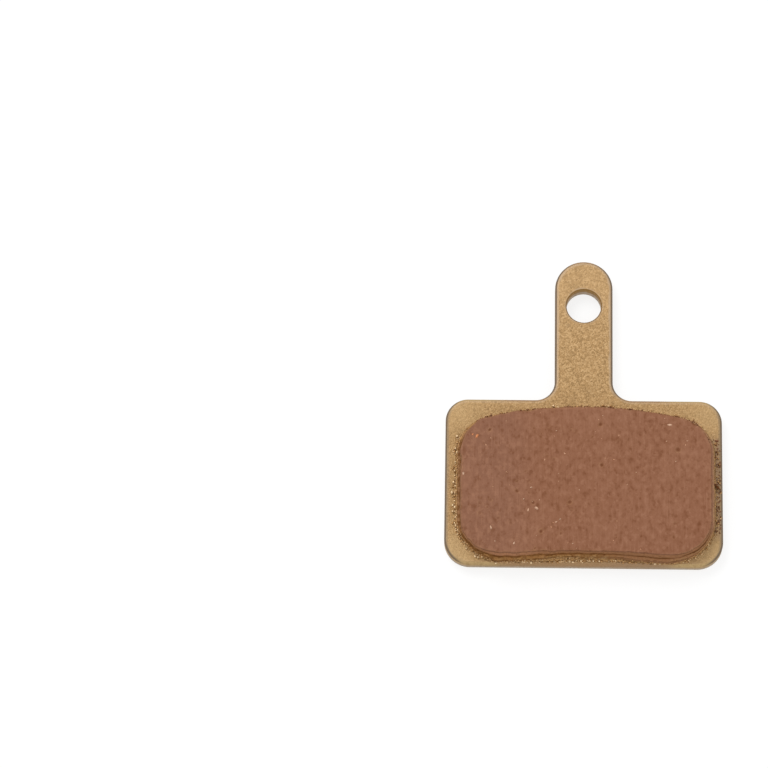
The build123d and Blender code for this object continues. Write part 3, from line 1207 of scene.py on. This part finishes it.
    def scatter_pits(self, finish):
        """The pits' places, for looking up the nearest, and each one's reach and strength."""
        dice = random.Random(finish.seed)
        places = [spot(x, y, FRICTION_FACE) for x, y, _ in self.deep_pits]
        pits = [(width * MM, 1.0) for _, _, width in self.deep_pits]
        for _ in range(finish.pits):
            x = dice.uniform(LINING_LOW.x, LINING_HIGH.x)
            y = dice.uniform(LINING_LOW.y, LINING_HIGH.y)
            places.append(Vector((x, y, FRICTION_FACE)))
            pits.append((dice.uniform(0.14, 0.26) * MM, 0.12 + 0.40 * dice.random() ** 2))
        tree = kdtree.KDTree(len(places))
        for index, place in enumerate(places):
            tree.insert(place, index)
        tree.balance()
        return tree, pits


class PAD_OT_metal_flecks(bpy.types.Operator):
    """Sets small metal flecks flush in the friction face"""

    bl_idname = "brake_pad.metal_flecks"
    bl_label = "Metal Flecks"

    # Places on the face and widths, in millimetres, and turns, in degrees
    copper_flecks = ((-11.57, 4.4, 0.34, 60), (-12.05, 4.6, 0.14, 60))
    pale_flecks = (
        (-5.1, -3.6, 0.42, -35), (-6.0, -3.8, 0.24, 80), (-10.0, -5.8, 0.30, 100), (-7.5, -7.5, 0.28, 60),
        (9.2, 5.9, 0.32, 0), (-3.0, -5.1, 0.22, 30), (-2.6, -4.8, 0.18, 50), (-5.7, -1.3, 0.20, 10),
        (-6.5, -2.6, 0.18, 40), (-13.0, 0.2, 0.24, 90), (11.1, 4.1, 0.15, 0), (-3.0, 5.1, 0.16, 20),
    )

    def execute(self, context):
        finish = context.scene.brake_pad.lining
        heap = Heap(finish.seed + 1)
        dice = heap.dice
        for x, y, width, turn in self.copper_flecks:
            heap.lay(spot(x, y, FRICTION_FACE), width * MM, math.radians(turn), 1.0)
        for x, y, width, turn in self.pale_flecks:
            heap.lay(spot(x, y, FRICTION_FACE), width * MM, math.radians(turn), dice.uniform(0.0, 0.15))
        lining = merged_skin("friction_lining")
        face = faces_where(lining, lambda normal, middle: normal.z > LEVEL and middle.z > LEDGE + MM)
        for place, _ in random_spots(face, finish.flecks, dice):
            width = dice.uniform(0.08, 0.15) * MM
            heap.lay(place, width, dice.uniform(0.0, math.pi), dice.uniform(0.0, 0.5))
        lining.free()
        show_piece(heap.finish("copper"), "metal_flecks", metal_fleck(finish))
        return {"FINISHED"}


class PAD_OT_lining_crumbs(bpy.types.Operator):
    """Scatters brown crumbs of lining along its top edge and on the rim to its right"""

    bl_idname = "brake_pad.lining_crumbs"
    bl_label = "Lining Crumbs"

    # A dark streak of crumbs on the right rim: places and widths, in millimetres, and height over the plate
    smudge = (
        (14.15, -0.16, 0.26), (14.24, -0.30, 0.30), (14.36, -0.42, 0.30), (14.48, -0.52, 0.32),
        (14.58, -0.62, 0.28), (14.68, -0.74, 0.24), (14.34, -0.58, 0.20),
    )
    smudge_height = 0.2 * MM
    # How far from the bead crumbs lie at most, and how far inside the plate's edge at least
    right_stray = 0.62 * MM
    right_inset = 0.16 * MM
    # How far below the friction face they stick to the top edge, and how long their patches are there
    top_depths = span(0.10, 0.42)
    patch_length = 2.0 * MM
    # How dark they are
    darkness = (0.2, 0.9)

    def execute(self, context):
        finish = context.scene.brake_pad.lining
        heap = Heap(finish.seed + 2)
        self.line_top(heap, finish)
        self.strew_rim(heap, finish)
        for x, y, width in self.smudge:
            heap.add(spot(x, y, PLATE_FRONT + self.smudge_height), width * MM, 0.6, 1.0)
        # Each crumb's own darkness, stored under the name of the lining's painted shade
        skin = heap.finish("shade_and_tone")
        show_piece(skin, "lining_crumbs", bpy.data.materials["sintered_lining_finish"])
        return {"FINISHED"}

    def line_top(self, heap, finish):
        """Crumbs in patches along the lining's top edge."""
        lining = merged_skin("friction_lining")
        top = faces_where(lining, lambda normal, middle: normal.y > 0.35 and middle.z > LEDGE)
        for place, _ in random_spots(top, finish.crumbs, heap.dice):
            place.z = FRICTION_FACE - heap.dice.uniform(*self.top_depths)
            if noise.noise(place / self.patch_length) > -0.1:
                self.drop(heap, place, heap.dice.uniform(0.12, 0.24) * MM)
        lining.free()

    def strew_rim(self, heap, finish):
        """Crumbs on the bead and the dusty rim to its right."""
        bond = merged_skin("bonding_layer")
        right = [face for face in bead_faces(bond) if face.normal.x > 0.6]
        for place, normal in random_spots(right, finish.crumbs, heap.dice):
            if heap.dice.random() < 0.75 * dustiness(place):
                stray = self.right_stray * heap.dice.random()
                width = heap.dice.uniform(0.10, 0.26) * MM
                fallen = drawn_in(place) + outward(normal) * stray
                fallen.x = min(fallen.x, PLATE_HIGH.x - self.right_inset - width / 2)
                fallen.z = max(place.z - stray, PLATE_FRONT + 0.2 * width)
                self.drop(heap, fallen, width)
        bond.free()

    def drop(self, heap, place, width):
        """One crumb of a width."""
        heap.add(place, width, heap.dice.uniform(*THICKNESS), heap.dice.uniform(*self.darkness))


class PAD_OT_stage(bpy.types.Operator):
    """Sets the floor, the soft light and the camera"""

    bl_idname = "brake_pad.stage"
    bl_label = "Stage"

    camera_place = Vector((-10.84, -110.71, 384.24)) * MM
    camera_aim = Vector((-21.79, 10.99, 1.5)) * MM
    key_place = Vector((-260.0, 330.0, 560.0)) * MM
    floor_reach = 2000.0 * MM
    # How far the floor is below the pad
    floor_gap = 0.01 * MM

    def execute(self, context):
        finish = context.scene.brake_pad.stage
        context.scene.view_settings.view_transform = "Standard"
        self.lay_floor(finish)
        self.light(context, finish)
        self.aim_camera(context, finish)
        return {"FINISHED"}

    def lay_floor(self, finish):
        """A pale floor that takes the pad's shadow and shows white where it is open."""
        mesh = bpy.data.meshes.new("floor")
        sheet = bmesh.new()
        bmesh.ops.create_grid(sheet, x_segments=1, y_segments=1, size=self.floor_reach)
        bmesh.ops.translate(sheet, verts=sheet.verts, vec=(0.0, 0.0, PLATE_LOW.z - self.floor_gap))
        sheet.to_mesh(mesh)
        sheet.free()
        white = MaterialSheet("floor_white")
        material = white.surface(
            Base_Color=rgba(finish.floor_white),
            Roughness=1.0,
            Specular_IOR_Level=0.0,
            Emission_Color=WHITE,
            Emission_Strength=white.part(white.seen(), finish.floor_lift),
        )
        mesh.materials.append(material)
        floor = linked("floor", mesh)

    def light(self, context, finish):
        """Even light all round, white where it is seen, and one large soft lamp from the upper left."""
        sky = NodeSheet(bpy.data.worlds.new("white_room"))
        levels = {"Value": sky.seen(), "To Min": finish.sky_light, "To Max": 1.0}
        level = sky.add("ShaderNodeMapRange", levels)
        background = sky.add("ShaderNodeBackground", {"Color": WHITE, "Strength": level.outputs[0]})
        sky.add("ShaderNodeOutputWorld", {"Surface": background.outputs[0]})
        context.scene.world = sky.owner
        lamp = bpy.data.lights.new("soft_key", "AREA")
        lamp.energy = finish.key_power
        lamp.size = finish.key_size
        key = linked("soft_key", lamp)
        key.location = self.key_place
        key.rotation_euler = (-self.key_place).to_track_quat("-Z", "Y").to_euler()

    def aim_camera(self, context, finish):
        """Looks down on the friction face from a little below the pad's middle."""
        lens = bpy.data.cameras.new("camera")
        lens.lens = finish.lens
        camera = linked("camera", lens)
        sight = (self.camera_aim - self.camera_place).to_track_quat("-Z", "Y")
        camera.location = self.camera_place
        camera.rotation_euler = (sight @ Quaternion(UP, finish.roll)).to_euler()
        context.scene.camera = camera


class PAD_PT_finish(bpy.types.Panel):
    """Lists the pad's pieces and their settings"""

    bl_idname = "PAD_PT_finish"
    bl_label = "Disc Brake Pad"
    bl_space_type = "VIEW_3D"
    bl_region_type = "UI"
    bl_category = "Brake Pad"

    def draw(self, context):
        for operator in OPERATORS:
            self.layout.operator(operator.bl_idname)
        settings = context.scene.brake_pad
        for group in (settings.plate, settings.bond, settings.lining, settings.stage):
            box = self.layout.box()
            for name in group.__annotations__:
                box.prop(group, name)


OPERATORS = (
    PAD_OT_backing_plate,
    PAD_OT_bonding_layer,
    PAD_OT_powder_grains,
    PAD_OT_friction_lining,
    PAD_OT_metal_flecks,
    PAD_OT_lining_crumbs,
    PAD_OT_stage,
)
CLASSES = (PlateFinish, BondFinish, LiningFinish, StageFinish, BrakePadFinish, *OPERATORS, PAD_PT_finish)


def register():
    for item in CLASSES:
        bpy.utils.register_class(item)
    bpy.types.Scene.brake_pad = PointerProperty(type=BrakePadFinish)


def unregister():
    del bpy.types.Scene.brake_pad
    for item in reversed(CLASSES):
        bpy.utils.unregister_class(item)


def main():
    register()
    bpy.ops.brake_pad.backing_plate()
    bpy.ops.brake_pad.bonding_layer()
    bpy.ops.brake_pad.powder_grains()
    bpy.ops.brake_pad.friction_lining()
    bpy.ops.brake_pad.metal_flecks()
    bpy.ops.brake_pad.lining_crumbs()
    bpy.ops.brake_pad.stage()


if __name__ == "__main__":
    main()
